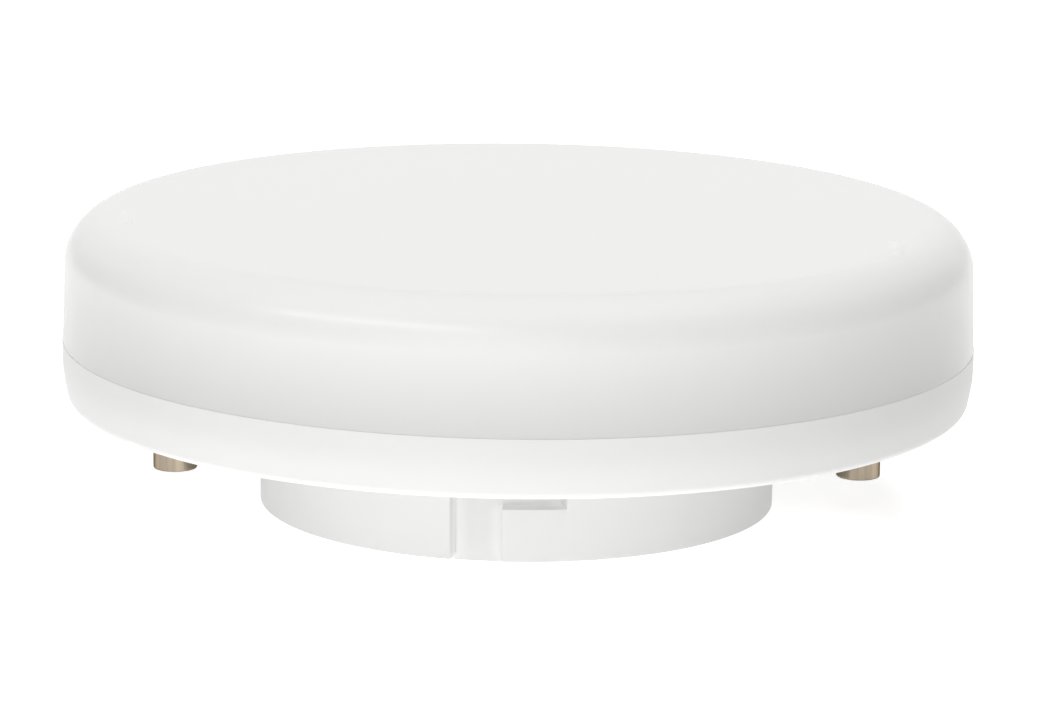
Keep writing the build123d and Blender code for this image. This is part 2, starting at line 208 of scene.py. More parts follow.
class LampFinish(bpy.types.PropertyGroup):
    """Colours and gloss of the surfaces."""

    opal: colour("Opal", "Colour of the cover", (0.95, 0.95, 0.945))
    # Painted shade on the cover: its wall is coloured darker from the shoulder down to the seam, and full
    # white only on the upper part of the rounding.
    opal_seam_painted_shade: share("Opal seam shade", "How much darker the wall is just above the seam", 0.335)
    opal_shoulder: share("Opal shoulder shade", "How much darker it is where its rounding starts", 0.135)
    opal_full: share("Opal full white", "Upper part of the rounding that is as white as the face", 1 / 3)
    # Painted highlight on the crests of the index marks
    opal_mark: colour("Opal mark", "Crest of an index mark", (0.99, 0.99, 0.985))
    opal_flow: colour("Opal flow", "Flow lines of the moulding", (0.80, 0.80, 0.78))
    opal_mottle: share("Opal mottle", "How far the flow lines show", 0.03)
    opal_roughness: share("Opal roughness", "Satin of the cover", 0.26)
    white: colour("White", "Colour of the base", (0.77, 0.77, 0.763))
    # Painted light: the base is coloured paler deep in narrow recesses, standing in for light soaking
    # through the white plastic.
    white_recess: colour("White recess", "Narrow recesses, where light soaks through", (0.97, 0.97, 0.961))
    white_roughness: share("White roughness", "Semi-gloss of the base", 0.38)
    nickel: colour("Nickel", "Colour of the contact pins", (0.46, 0.39, 0.30))
    nickel_edge: colour("Nickel edge", "Tint of the plating at a grazing view", (0.2, 0.17, 0.14))
    nickel_roughness: share("Nickel roughness", "Satin of the plating", 0.27)
    tin: colour("Tin", "Tinned wires, legs and end faces", (0.62, 0.62, 0.60))
    film: colour("Film", "Colour of the insulating film", (0.80, 0.80, 0.74))
    aluminium: colour("Aluminium", "Colour of the heat spreader", (0.74, 0.75, 0.76))
    zinc: colour("Zinc", "Colour of the screws", (0.62, 0.62, 0.63))
    phosphor: colour("Phosphor", "Colour of an LED's window", (0.85, 0.62, 0.10))
    board: colour("Board", "Mask of the driver board", (0.06, 0.26, 0.13))
    sleeve: colour("Sleeve", "Sleeve of the capacitors", (0.05, 0.06, 0.09))
    sleeve_stripe: colour("Sleeve stripe", "Stripe along a sleeve", (0.55, 0.56, 0.58))
    ferrite: colour("Ferrite", "Colour of the choke's drum", (0.10, 0.10, 0.11))
    copper: colour("Copper", "Enamelled wire of the choke", (0.62, 0.28, 0.12))
    lacquer: colour("Lacquer", "Body of the fuse resistor", (0.25, 0.38, 0.52))
    resin: colour("Resin", "Body of the film capacitor", (0.52, 0.10, 0.06))
    black: colour("Black", "Chips and the black lead", (0.03, 0.03, 0.03))
    red: colour("Red", "The red lead", (0.60, 0.05, 0.04))


class LampInner(bpy.types.PropertyGroup):
    """Sizes of the inner parts that their finishes follow."""

    led_window_t: length("LED window", "Depth of an LED's window", 0.15)
    can_round: length("Can rounding", "Rounding at a capacitor's end", 0.4)
    stripe_place: share("Stripe place", "Edge of a sleeve's stripe, out from the middle", 0.3)
    band_w: share("Band width", "Band on the resistor, of half its body", 1 / 9)
    band_pitch: share("Band pitch", "Distance between bands, of half the resistor's body", 1 / 3)
    wire_d: length("Wire", "Component wire across", 0.6)
    wire_out: length("Wire reach", "Wire, from a component's end to where it drops", 1.6)
    chip_leg_out: length("Chip leg", "Leg, out from a chip's side", 1.0)
    coil_bore: length("Coil bore", "Inside of the choke's winding", 3.5)
    coil_turns: count("Coil turns", "Turns of wire on the choke", 9, 1)


class LampStudio(bpy.types.PropertyGroup):
    """Camera and light."""

    distance: length("Distance", "Camera to the middle of the seam", 345.0)
    elevation: angle("Elevation", "Camera's height above the seam", 12.068)
    roll: angle("Roll", "Tilt of the camera about its view", 0.724)
    lens: number("Lens", "Focal length on a 36 mm sensor", 154.66)
    shift_x: number("Shift X", "Frame's shift to the right", 0.0021)
    shift_y: number("Shift Y", "Frame's shift upwards", -0.01945)
    floor: colour("Floor", "Colour of the floor", (0.93, 0.93, 0.93))
    # The floor's glow is a painted pool of light on the floor that lights the lamp from below.
    floor_glow: number("Floor glow", "Light from the floor in front", 0.92)
    floor_glow_far: number("Far floor glow", "Light from the rest of the floor", 0.13)
    floor_pool: length("Floor pool", "Radius of the brightest floor", 30.0)
    floor_fade: length("Floor fade", "Radius where the floor's glow is lowest", 110.0)
    floor_ahead: length("Floor pool place", "Middle of the brightest floor, out from the lamp's axis", 77.5)
    floor_turn: angle("Floor pool turn", "Middle of the brightest floor, round the lamp's axis", -15.0)
    floor_lift: number("Floor lift", "What brings the seen floor up to white", 0.62)


# Lines and meshes


def rounded(*corners):
    """Points of a closed outline from (radius, height, rounding) corners."""
    points = []
    for before, corner, after in zip(corners[-1:] + corners[:-1], corners, corners[1:] + corners[:1]):
        here = Vector(corner[:2])
        if corner[2] == 0:
            points.append(tuple(corner[:2]))
            continue
        back = (Vector(before[:2]) - here).normalized()
        on = (Vector(after[:2]) - here).normalized()
        half = back.angle(on) / 2
        middle = here + (back + on).normalized() * corner[2] / sin(half)
        first = here + back * corner[2] / tan(half) - middle
        turn = first.angle_signed(here + on * corner[2] / tan(half) - middle)
        steps = max(2, ceil(abs(turn) / ARC_STEP))
        for i in range(steps + 1):
            points.append(tuple(middle + Matrix.Rotation(-turn * i / steps, 2) @ first))
    return points


def at(radius, turn, height):
    """Point at an angle round the axis."""
    return Vector((radius * sin(turn), -radius * cos(turn), height))


def even_turns(count, start=0.0, sweep=2 * pi):
    """Angles evenly spaced from a start, without the last one."""
    return [start + sweep * i / count for i in range(count)]


def revolved(points, turns, whole=True):
    """Mesh of a closed outline carried round the axis, and its rings of vertices."""
    mesh = bmesh.new()
    rings = []
    for radius, height in points:
        if radius < MICRON:
            rings.append([mesh.verts.new((0, 0, height))] * len(turns))
        else:
            rings.append([mesh.verts.new(at(radius, turn, height)) for turn in turns])
    last = len(turns) if whole else len(turns) - 1
    for low, high in zip(rings, rings[1:] + rings[:1]):
        for j in range(last):
            k = (j + 1) % len(turns)
            face_between(mesh, low[j], low[k], high[k], high[j])
    if not whole:
        for j in (0, -1):
            mesh.faces.new([ring[j] for ring in rings])
    bmesh.ops.recalc_face_normals(mesh, faces=mesh.faces)
    return mesh, rings


def face_between(mesh, *corners):
    """Face on the given vertices, or nothing where they fall together."""
    own = list(dict.fromkeys(corners))
    if len(own) > 2:
        mesh.faces.new(own)


def upright(points, place, columns):
    """Mesh of an outline carried right round an upright axis at a place."""
    mesh, _ = revolved(points, even_turns(columns))
    bmesh.ops.translate(mesh, vec=(place[0], place[1], 0), verts=mesh.verts)
    return mesh


def round_bar(radius, low, high, place=(0, 0), columns=BAR_COLUMNS):
    """Mesh of an upright round bar."""
    return upright([(0, low), (radius, low), (radius, high), (0, high)], place, columns)


def ring_piece(r_in, r_out, low, high, start, sweep, columns=PIECE_COLUMNS):
    """Mesh of a piece of an upright ring, between two angles."""
    outline = [(r_in, low), (r_out, low), (r_out, high), (r_in, high)]
    turns = even_turns(columns + 1, start, sweep * (columns + 1) / columns)
    return revolved(outline, turns, whole=False)[0]


def new_object(name, mesh):
    """Scene object from a bmesh, which is used up."""
    data = bpy.data.meshes.new(name)
    mesh.to_mesh(data)
    mesh.free()
    obj = bpy.data.objects.new(name, data)
    bpy.context.scene.collection.objects.link(obj)
    return obj


def combine(obj, operation, meshes):
    """Join meshes to an object, or cut them from it."""
    joined = bmesh.new()
    for mesh in meshes:
        part = bpy.data.meshes.new("tool")
        mesh.to_mesh(part)
        mesh.free()
        joined.from_mesh(part)
        bpy.data.meshes.remove(part)
    tool = new_object("tool", joined)
    modifier = obj.modifiers.new("combine", "BOOLEAN")
    modifier.operation = operation
    modifier.solver = "EXACT"
    modifier.object = tool
    whole = bpy.data.meshes.new_from_object(obj.evaluated_get(bpy.context.evaluated_depsgraph_get()))
    old = obj.data
    obj.modifiers.clear()
    obj.data = whole
    bpy.data.meshes.remove(old)
    bpy.data.objects.remove(tool)
    if not whole.polygons:
        raise RuntimeError(f"{obj.name} was lost in a {operation.lower()}")


def finish_piece(obj, node, material):
    """Shade a modelled piece and let it stand for its part."""
    obj.data.materials.clear()
    obj.data.materials.append(material)
    obj.data.shade_smooth()
    obj.data.set_sharp_from_angle(angle=SHARP_ANGLE)
    soften = obj.modifiers.new("weighted normals", "WEIGHTED_NORMAL")
    soften.keep_sharp = True
    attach(obj, BODY)
    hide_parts(node)


# Levels and radii that follow from the frame and the form


def levels(form):
    """Heights and radii shared by the mouldings."""
    at_rest = SimpleNamespace()
    at_rest.disc_r = BASE_HIGH.x
    at_rest.seam_z = BASE_HIGH.z
    at_rest.top_z = BASE_HIGH.z + form.cover_rise
    at_rest.flange_z = form.boss_h
    at_rest.flange_top = form.boss_h + form.flange_t
    at_rest.ring_in_r = BASE_HIGH.x - form.ring_wall
    at_rest.spigot_r = at_rest.ring_in_r - form.spigot_clear
    at_rest.spigot_z = COVER_LOW.z
    at_rest.snap_z = (COVER_LOW.z + BASE_HIGH.z - form.snap_h) / 2
    at_rest.cavity_r = BOSS_R - form.boss_wall
    at_rest.groove_r = BOSS_R - form.groove_depth
    at_rest.rib_r = STACK_HIGH.x - form.rib_margin
    at_rest.stack_z = STACK_LOW.z
    return at_rest


def groove_turns(form):
    """Angles of the channel's start, the channel's end and the leg's end."""
    start = form.channel_turn - form.channel_w / 2 / BOSS_R
    middle = start + form.channel_w / BOSS_R
    return start, middle, middle + form.leg_l / BOSS_R


# Mouldings


def cover_mesh(form):
    """Opal cover: flat light face, rounded edge, leaning wall and spigot."""
    z = levels(form)
    lean = tan(form.cover_draft)
    cover_r = z.disc_r - form.cover_step
    root_z = z.seam_z + form.spigot_root_h
    slope_z = root_z + form.cover_wall
    spigot_in_r = z.spigot_r - form.spigot_wall

    def wall_r(height):
        return cover_r - (height - z.seam_z) * lean

    inner_top = z.top_z - form.cover_wall
    outline = rounded(
        (0, z.top_z, 0),
        (wall_r(z.top_z) / 2, z.top_z, 0),
        (wall_r(z.top_z), z.top_z, form.cover_edge_r),
        (cover_r, z.seam_z, 0),
        (z.spigot_r, z.seam_z, 0),
        (z.spigot_r, z.spigot_z, form.arris_r),
        (spigot_in_r, z.spigot_z, form.arris_r),
        (spigot_in_r, root_z, 0),
        (wall_r(slope_z) - form.cover_wall, slope_z, 0),
        (wall_r(z.top_z) - form.cover_wall, inner_top, form.cover_edge_r - form.cover_wall),
        (0, inner_top, 0),
    )
    return revolved(outline, even_turns(2 * form.columns))[0]


def index_mark(form, turn, circle, twist=0.0):
    """Low soft ridge that follows the light face and its rounded edge, and runs out at its ends."""
    z = levels(form)
    root_z = z.top_z - form.cover_wall / 2
    edge_r = form.cover_edge_r
    flat_r = z.disc_r - form.cover_step - form.cover_rise * tan(form.cover_draft) - edge_r
    spin = Matrix.Rotation(turn, 4, "Z")
    place = spin @ Matrix.Translation((0, -circle, 0)) @ Matrix.Rotation(twist, 4, "Z")
    rows, columns = form.mark_rows, 2 * form.mark_rows
    mesh = bmesh.new()
    grid = []
    for i in range(columns + 1):
        along = 2 * i / columns - 1
        end = min(1.0, (1 - abs(along)) / form.mark_fade)
        for k in range(rows + 1):
            across = 2 * k / rows - 1
            reach = form.mark_in if across > 0 else form.mark_out
            spot = place @ Vector((along * form.mark_l / 2, across * reach, root_z))
            if 0 < i < columns and 0 < k < rows:
                beyond = max(0.0, spot.xy.length - flat_r)
                rise = cos(across * pi / 2) ** 2 * end**2 * (3 - 2 * end)
                spot.z = z.top_z - edge_r + (edge_r**2 - beyond**2) ** 0.5 + (COVER_HIGH.z - z.top_z) * rise
            grid.append(mesh.verts.new(spot))
    step = rows + 1
    for i in range(columns):
        for k in range(i * step, i * step + rows):
            mesh.faces.new((grid[k], grid[k + step], grid[k + step + 1], grid[k + 1]))
    bmesh.ops.holes_fill(mesh, edges=mesh.edges)
    bmesh.ops.recalc_face_normals(mesh, faces=mesh.faces)
    return mesh


def base_outside(form):
    """White base as one solid: ring, flange and boss, with its key grooves."""
    z = levels(form)
    leg_z = z.flange_z - form.leg_h
    ring_inset = form.ring_lean_h * tan(form.ring_lean)
    corners = (
        (0, 0, 0),
        (z.groove_r, 0, form.boss_foot_r),
        (z.groove_r, form.boss_rim_lift, 0),
        (BOSS_R, form.boss_rim_lift, form.boss_foot_r),
        *((BOSS_R, leg_z + form.groove_root_r * i / ROOT_ROWS, 0) for i in range(ROOT_ROWS + 1)),
        (BOSS_R, z.flange_z, 0),
        (z.disc_r - ring_inset, z.flange_z, form.ring_foot_r),
        (z.disc_r, z.flange_z + form.ring_lean_h, form.ring_bend_r),
        (z.disc_r, z.seam_z, form.ring_rim_r),
        (z.ring_in_r, z.seam_z, form.arris_r),
        (z.ring_in_r, z.flange_top, 0),
        (0, z.flange_top, 0),
    )
    outline = rounded(*corners)
    rows = [
        outline.index(corner)
        for corner in ((z.groove_r, form.boss_rim_lift), (BOSS_R, leg_z), (BOSS_R, z.flange_z))
    ]
    start, middle, end = groove_turns(form)
    stops = (start, middle, end, start + pi)
    steps = (form.groove_step, form.groove_step, pi * BOSS_R / form.columns)
    counts = [ceil((b - a) * BOSS_R / step) for a, b, step in zip(stops, stops[1:], steps)]
    half = []
    for count, a, b in zip(counts, stops, stops[1:]):
        half += even_turns(count, a, b - a)
    turns = half + [turn + pi for turn in half]
    mesh, rings = revolved(outline, turns)
    edges = []
    for first in (0, len(half)):
        stop = first + counts[0]
        columns = (first, stop, stop + counts[1])
        edges += sink_groove(mesh, rings, outline, turns, rows, columns, form.groove_root_r)
    bmesh.ops.recalc_face_normals(mesh, faces=mesh.faces)
    sharp = [e for e in set(edges) if e.is_valid and e.is_manifold and e.calc_face_angle() > SHARP_ANGLE]
    bmesh.ops.bevel(
        mesh,
        geom=sharp,
        offset=form.groove_edge_r,
        segments=EDGE_ROWS,
        profile=0.5,
        affect="EDGES",
        clamp_overlap=False,
    )
    return mesh


def sink_groove(mesh, rings, outline, turns, rows, columns, root_r):
    """Sink one L-shaped groove into the boss's wall, and return its edges above the boss's rim."""
    foot, leg, flange = rows
    first, stop, last = columns
    groove_r, rim_z = outline[foot]
    taken = [(i, j) for j in range(first, stop) for i in range(foot, flange)]
    taken += [(i, j) for j in range(stop, last) for i in range(leg, flange)]
    old = []
    for i, j in taken:
        corners = {rings[i][j], rings[i][j + 1], rings[i + 1][j], rings[i + 1][j + 1]}
        old += [f for f in rings[i][j].link_faces if set(f.verts) == corners]
    bmesh.ops.delete(mesh, geom=old, context="FACES_ONLY")
    inner = {}

    def root_rise(j, height):
        start, side, end = [(turns[k] - turns[j]) * BOSS_R for k in columns]
        corner = Vector((max(0.0, side), max(0.0, height - outline[leg][1]))).length
        short = root_r - min(-start, corner, end, root_r)
        full = min(1.0, (height - rim_z) / (outline[leg][1] - rim_z))
        return (root_r - (root_r**2 - short**2) ** 0.5) * full

    def sunk(i, j):
        height = outline[i][1]
        if height < rim_z + MICRON:
            return rings[foot][j]
        if (i, j) not in inner:
            inner[i, j] = mesh.verts.new(at(groove_r + root_rise(j, height), turns[j], height))
        return inner[i, j]

    for i, j in taken:
        face_between(mesh, sunk(i, j), sunk(i, j + 1), sunk(i + 1, j + 1), sunk(i + 1, j))
    for j in range(first, last):
        face_between(mesh, rings[flange][j], rings[flange][j + 1], sunk(flange, j + 1), sunk(flange, j))
    for j in range(stop, last):
        face_between(mesh, rings[leg][j], rings[leg][j + 1], sunk(leg, j + 1), sunk(leg, j))
    for j, low, high in ((first, foot, flange), (stop, foot, leg), (last, leg, flange)):
        for i in range(low, high):
            face_between(mesh, rings[i][j], rings[i + 1][j], sunk(i + 1, j), sunk(i, j))
    own = {e for vert in inner.values() for f in vert.link_faces for e in f.edges}
    return [e for e in own if max(v.co.z for v in e.verts) > rim_z + MICRON and len(e.link_faces) == 2]


def driver_room(form):
    """Room in the boss, left free of the groove's backs and the standoffs."""
    z = levels(form)
    start, _, end = groove_turns(form)
    margin = form.boss_wall / BOSS_R
    room = new_object("room", round_bar(z.cavity_r, form.boss_floor_t, z.flange_top + form.rooted))
    pad_r = z.groove_r - form.boss_wall
    high = z.flange_top + 2 * form.rooted
    span = end - start + 2 * margin
    pads = [ring_piece(pad_r, BOSS_R, 0, high, start - margin + half, span) for half in (0, pi)]
    combine(room, "DIFFERENCE", pads)
    sweep = form.standoff_w / z.cavity_r
    inside = DRIVER_HIGH.x - form.standoff_under
    turns = even_turns(form.standoff_count, pi / form.standoff_count)
    rests = [ring_piece(inside, BOSS_R, 0, DRIVER_LOW.z, turn - sweep / 2, sweep) for turn in turns]
    combine(room, "DIFFERENCE", rests)
    mesh = bmesh.new()
    mesh.from_mesh(room.data)
    bpy.data.objects.remove(room)
    return mesh


def base_piece(form):
    """White base with its collars, rib, posts, room, holes and snap pockets."""
    z = levels(form)
    pins = [sum(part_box(f"contact_pin_{side}"), Vector()).xy / 2 for side in ("left", "right")]
    posts = [
        at(z.rib_r - form.post_d / 2, turn, 0).xy for turn in even_turns(form.screw_count, form.screw_turn)
    ]
    root_z = z.flange_top - form.rooted
    rib = [(z.rib_r - form.rib_w, root_z), (z.rib_r, root_z)]
    rib += [(radius, z.stack_z) for radius, _ in reversed(rib)]
    base = new_object("base_moulding", base_outside(form))
    collar_z = z.flange_z - form.collar_h
    collars = [round_bar(form.collar_d / 2, collar_z, z.flange_z + form.rooted, pin) for pin in pins]
    combine(base, "UNION", collars)
    combine(base, "UNION", [revolved(rib, even_turns(2 * form.columns))[0]])
    pillars = [round_bar(form.post_d / 2, root_z, z.stack_z, post, POST_COLUMNS) for post in posts]
    combine(base, "UNION", pillars)
    combine(base, "DIFFERENCE", [driver_room(form)])
    pin_hole_r = form.pin_shank_d / 2 + form.pin_hole_clear
    low, high = collar_z - form.rooted, z.flange_top + form.rooted
    holes = [round_bar(pin_hole_r, low, high, pin, POST_COLUMNS) for pin in pins]
    low, high = SCREW_LOW.z - form.post_bore_gap, z.stack_z + form.rooted
    holes += [round_bar(form.post_bore / 2, low, high, post, BORE_COLUMNS) for post in posts]
    sweep = (form.snap_w + 2 * form.snap_clear) / z.spigot_r
    inner_r, outer_r = z.ring_in_r - form.rooted, z.spigot_r + form.snap_reach + form.snap_clear
    low, high = z.snap_z - form.snap_clear, z.snap_z + form.snap_h + form.snap_clear
    for turn in even_turns(form.snap_count, pi / form.snap_count):
        holes.append(ring_piece(inner_r, outer_r, low, high, turn - sweep / 2, sweep))
    combine(base, "DIFFERENCE", holes)
    return base


def pin_mesh(form, low, high):
    """Turned pin: head, neck, shoulder on the collar, shank and the end spread inside."""
    z = levels(form)
    head_z = low.z + form.pin_head_h
    collar_z = z.flange_z - form.collar_h
    head_r, neck_r, shank_r = form.pin_head_d / 2, form.pin_neck_d / 2, form.pin_shank_d / 2
    shoulder_r, rivet_r = (high.x - low.x) / 2, form.pin_rivet_d / 2
    shoulder_z = collar_z - form.pin_shoulder_t
    outline = rounded(
        (0, low.z, 0),
        (head_r, low.z, form.pin_round),
        (head_r, head_z, form.pin_round),
        (neck_r, head_z, form.pin_round),
        (neck_r, shoulder_z, 0),
        (shoulder_r, shoulder_z, form.pin_round),
        (shoulder_r, collar_z, 0),
        (shank_r, collar_z, 0),
        (shank_r, z.flange_top, 0),
        (rivet_r, z.flange_top, 0),
        (rivet_r, high.z, form.pin_round),
        (0, high.z, 0),
    )
    return upright(outline, (low + high) / 2, BAR_COLUMNS)


# Shader helpers


def set_inputs(node, values):
    """Set a node's input values by name."""
    for name, value in values.items():
        node.inputs[name.replace("_", " ")].default_value = value


def add(tree, kind, **inputs):
    """New node with its input values set by name."""
    node = tree.nodes.new(kind)
    set_inputs(node, inputs)
    return node


def calculate(tree, operation, first, second):
    """Math node on two sockets or numbers; returns its result."""
    node = tree.nodes.new("ShaderNodeMath")
    node.operation = operation
    for socket, value in zip(node.inputs, (first, second)):
        feed(tree, socket, value)
    return node.outputs[0]


def feed(tree, socket, value):
    """Link a socket to another, or set its value."""
    if isinstance(value, bpy.types.NodeSocket):
        tree.links.new(value, socket)
    else:
        socket.default_value = value


def remap(tree, value, low=0.0, high=1.0, to_low=0.0, to_high=1.0):
    """Value carried from one range to another, held at its ends."""
    node = tree.nodes.new("ShaderNodeMapRange")
    for socket, item in zip(node.inputs, (value, low, high, to_low, to_high)):
        feed(tree, socket, item)
    return node.outputs[0]


def mix(tree, factor, first, second):
    """Colour between two others."""
    node = tree.nodes.new("ShaderNodeMix")
    node.data_type = "RGBA"
    feed(tree, node.inputs[0], factor)
    for socket, value in ((node.inputs[6], first), (node.inputs[7], second)):
        feed(tree, socket, value if isinstance(value, bpy.types.NodeSocket) else (*value, 1.0))
    return node.outputs[2]


def shaded(tone, factor):
    """A colour made darker or paler, held at full white."""
    return tuple(min(1.0, part * factor) for part in tone)


def new_group(name, values, results):
    """Empty shader group fed with a vector and named values; returns it with its ends."""
    group = bpy.data.node_groups.new(name, "ShaderNodeTree")
    group.interface.new_socket(name="Vector", in_out="INPUT", socket_type="NodeSocketVector")
    for socket, default in values.items():
        kind = "NodeSocketVector" if isinstance(default, tuple) else "NodeSocketFloat"
        made = group.interface.new_socket(name=socket, in_out="INPUT", socket_type=kind)
        made.default_value = default
    for socket in results:
        group.interface.new_socket(name=socket, in_out="OUTPUT", socket_type="NodeSocketFloat")
    return group, group.nodes.new("NodeGroupInput"), group.nodes.new("NodeGroupOutput")


def moulded_grain(name):
    """Group: fine grain and broad flow of a moulded or painted surface."""
    group, given, result = new_group(name, {"Grain": 6000.0, "Flow": 60.0}, ("Height", "Mottle"))
    grain = add(group, "ShaderNodeTexNoise", Detail=2.0, Roughness=0.6)
    flow = add(group, "ShaderNodeTexNoise", Detail=3.0, Roughness=0.55)
    for node, size in ((grain, "Grain"), (flow, "Flow")):
        group.links.new(given.outputs["Vector"], node.inputs["Vector"])
        group.links.new(given.outputs[size], node.inputs["Scale"])
    broad = calculate(group, "MULTIPLY", flow.outputs[0], 0.5)
    group.links.new(calculate(group, "ADD", grain.outputs[0], broad), result.inputs["Height"])
    group.links.new(remap(group, flow.outputs[0], 0.2, 0.8), result.inputs["Mottle"])
    return group


def tool_streaks(name):
    """Group: fine streaks left by drawing, rolling or turning, long where the stretch is small."""
    values = {"Stretch": (1.0, 1.0, 0.02), "Pitch": 0.3 * MM}
    group, given, result = new_group(name, values, ("Streak",))
    stretch = group.nodes.new("ShaderNodeVectorMath")
    stretch.operation = "MULTIPLY"
    group.links.new(given.outputs["Vector"], stretch.inputs[0])
    group.links.new(given.outputs["Stretch"], stretch.inputs[1])
    noise = add(group, "ShaderNodeTexNoise", Detail=3.0, Roughness=0.6)
    group.links.new(stretch.outputs[0], noise.inputs["Vector"])
    group.links.new(calculate(group, "DIVIDE", 1.0, given.outputs["Pitch"]), noise.inputs["Scale"])
    group.links.new(remap(group, noise.outputs[0], 0.25, 0.75), result.inputs["Streak"])
    return group


def copper_areas(name):
    """Group: copper areas under a board's mask, parted by narrow gaps."""
    group, given, result = new_group(name, {"Scale": 120.0}, ("Copper",))
    bricks = add(group, "ShaderNodeTexBrick", Mortar_Size=0.025, Mortar_Smooth=0.3)
    for socket in ("Vector", "Scale"):
        group.links.new(given.outputs[socket], bricks.inputs[socket])
    group.links.new(calculate(group, "SUBTRACT", 1.0, bricks.outputs["Fac"]), result.inputs["Copper"])
    return group


def on_object(tree):
    """Coordinates on the object itself."""
    return tree.nodes.new("ShaderNodeTexCoord").outputs["Object"]


def placed(tree, build, **values):
    """A shader group in a material, built the first time it is placed, and fed with coordinates."""
    name = build.__name__.replace("_", " ").capitalize()
    node = tree.nodes.new("ShaderNodeGroup")
    node.node_tree = bpy.data.node_groups.get(name) or build(name)
    tree.links.new(on_object(tree), node.inputs["Vector"])
    set_inputs(node, values)
    return node


def bump(tree, shader, height, depth):
    """Bump of a given depth in metres."""
    node = add(tree, "ShaderNodeBump", Strength=1.0, Distance=depth)
    tree.links.new(height, node.inputs["Height"])
    tree.links.new(node.outputs[0], shader.inputs["Normal"])


def vary_gloss(tree, shader, pattern, low, high):
    """Roughness that a pattern takes from one value to another."""
    tree.links.new(remap(tree, pattern, to_low=low, to_high=high), shader.inputs["Roughness"])


def new_material(name, **inputs):
    """Material with a Principled shader whose plain values are set."""
    material = bpy.data.materials.new(name)
    material.use_nodes = True
    shader = material.node_tree.nodes["Principled BSDF"]
    set_inputs(shader, inputs)
    return material, material.node_tree, shader


# Finishes


def place_along(tree, axis):
    """Coordinate along one axis of the frame."""
    split = tree.nodes.new("ShaderNodeSeparateXYZ")
    tree.links.new(on_object(tree), split.inputs[0])
    return split.outputs[axis]


def in_recess(tree):
    """Mask for painted light: 1 deep in narrow recesses, 0 in the open."""
    open_sky = add(tree, "ShaderNodeAmbientOcclusion", Distance=RECESS_REACH)
    open_sky.only_local = True
    return remap(tree, open_sky.outputs["AO"], RECESS_DEEP, RECESS_OPEN, 1.0, 0.0)


def moulded_plastic(
    name, tone, roughness, grain=6000.0, depth=4 * MICRON, mottle=0.03, recess=None, **inputs
):
    """Moulded plastic: fine grain, faint flow in its colour and gloss, and painted light that makes it
    paler in recesses where asked.
    """
    material, tree, shader = new_material(name, **inputs)
    surface = placed(tree, moulded_grain, Grain=grain)
    darker, paler = shaded(tone, 1 - mottle / 2), shaded(tone, 1 + mottle / 2)
    shown = mix(tree, surface.outputs["Mottle"], darker, paler)
    # Painted light: the colour turns paler deep in narrow recesses.
    if recess is not None:
        shown = mix(tree, in_recess(tree), shown, recess)
    tree.links.new(shown, shader.inputs["Base Color"])
    vary_gloss(tree, shader, surface.outputs["Mottle"], 0.94 * roughness, 1.06 * roughness)
    bump(tree, shader, surface.outputs["Height"], depth)
    return material


def opal_plastic(finish, seam_z, shoulder_z, light_z, face_z):
    """Opal cover: satin, fullest white on the light face, with painted shade down its hollow wall that
    darkens it towards the seam.
    """
    material, tree, shader = new_material("opal_cover", IOR=1.58)
    surface = placed(tree, moulded_grain, Grain=5000.0, Flow=45.0)
    height = place_along(tree, "Z")
    # Painted shade: the colour darkens from the top of the rounding down to the seam.
    seam = shaded(finish.opal, 1 - finish.opal_seam_painted_shade)
    shoulder = shaded(finish.opal, 1 - finish.opal_shoulder)
    wall = mix(tree, remap(tree, height, seam_z, shoulder_z), seam, shoulder)
    # Painted highlight: the crests of the index marks are coloured paler than the face.
    face = mix(tree, remap(tree, height, face_z, COVER_HIGH.z), finish.opal, finish.opal_mark)
    tone = mix(tree, remap(tree, height, shoulder_z, light_z), wall, face)
    faint = remap(tree, surface.outputs["Mottle"], to_high=finish.opal_mottle)
    tree.links.new(mix(tree, faint, tone, finish.opal_flow), shader.inputs["Base Color"])
    roughness = finish.opal_roughness
    vary_gloss(tree, shader, surface.outputs["Mottle"], 0.96 * roughness, 1.04 * roughness)
    bump(tree, shader, surface.outputs["Height"], 3 * MICRON)
    return material


def streaked_metal(
    name, tone, roughness, depth, worn=0.82, stretch=(1.0, 1.0, 0.02), pitch=0.3 * MM, **inputs
):
    """Bare metal with the streaks of its making in its colour, gloss and relief; where they are made dark,
    as on the pins, the streaks are also painted reflection.
    """
    material, tree, shader = new_material(name, Metallic=1.0, **inputs)
    streak = placed(tree, tool_streaks, Stretch=stretch, Pitch=pitch).outputs["Streak"]
    tree.links.new(mix(tree, streak, shaded(tone, worn), tone), shader.inputs["Base Color"])
    vary_gloss(tree, shader, streak, 1.2 * roughness, 0.85 * roughness)
    bump(tree, shader, streak, depth)
    return material


def board_mask(name, tone, scale, roughness, gap_shade=0.78):
    """Circuit board: copper areas standing up a little under a coloured mask."""
    material, tree, shader = new_material(name, IOR=1.5)
    copper = placed(tree, copper_areas, Scale=scale).outputs["Copper"]
    tree.links.new(mix(tree, copper, shaded(tone, gap_shade), tone), shader.inputs["Base Color"])
    grain = placed(tree, moulded_grain, Flow=200.0)
    vary_gloss(tree, shader, grain.outputs["Mottle"], 0.85 * roughness, 1.15 * roughness)
    bump(tree, shader, copper, 30 * MICRON)
    return material


def facing(tree, axis):
    """How squarely the surface faces along one axis, either way."""
    surface = tree.nodes.new("ShaderNodeNewGeometry")
    split = tree.nodes.new("ShaderNodeSeparateXYZ")
    tree.links.new(surface.outputs["Normal"], split.inputs[0])
    return calculate(tree, "ABSOLUTE", split.outputs[axis], 0.0)


def outside(tree, axis, low, high):
    """1 before and after two places along an axis, 0 between them."""
    along = place_along(tree, axis)
    before = calculate(tree, "LESS_THAN", along, low)
    return calculate(tree, "ADD", before, calculate(tree, "GREATER_THAN", along, high))


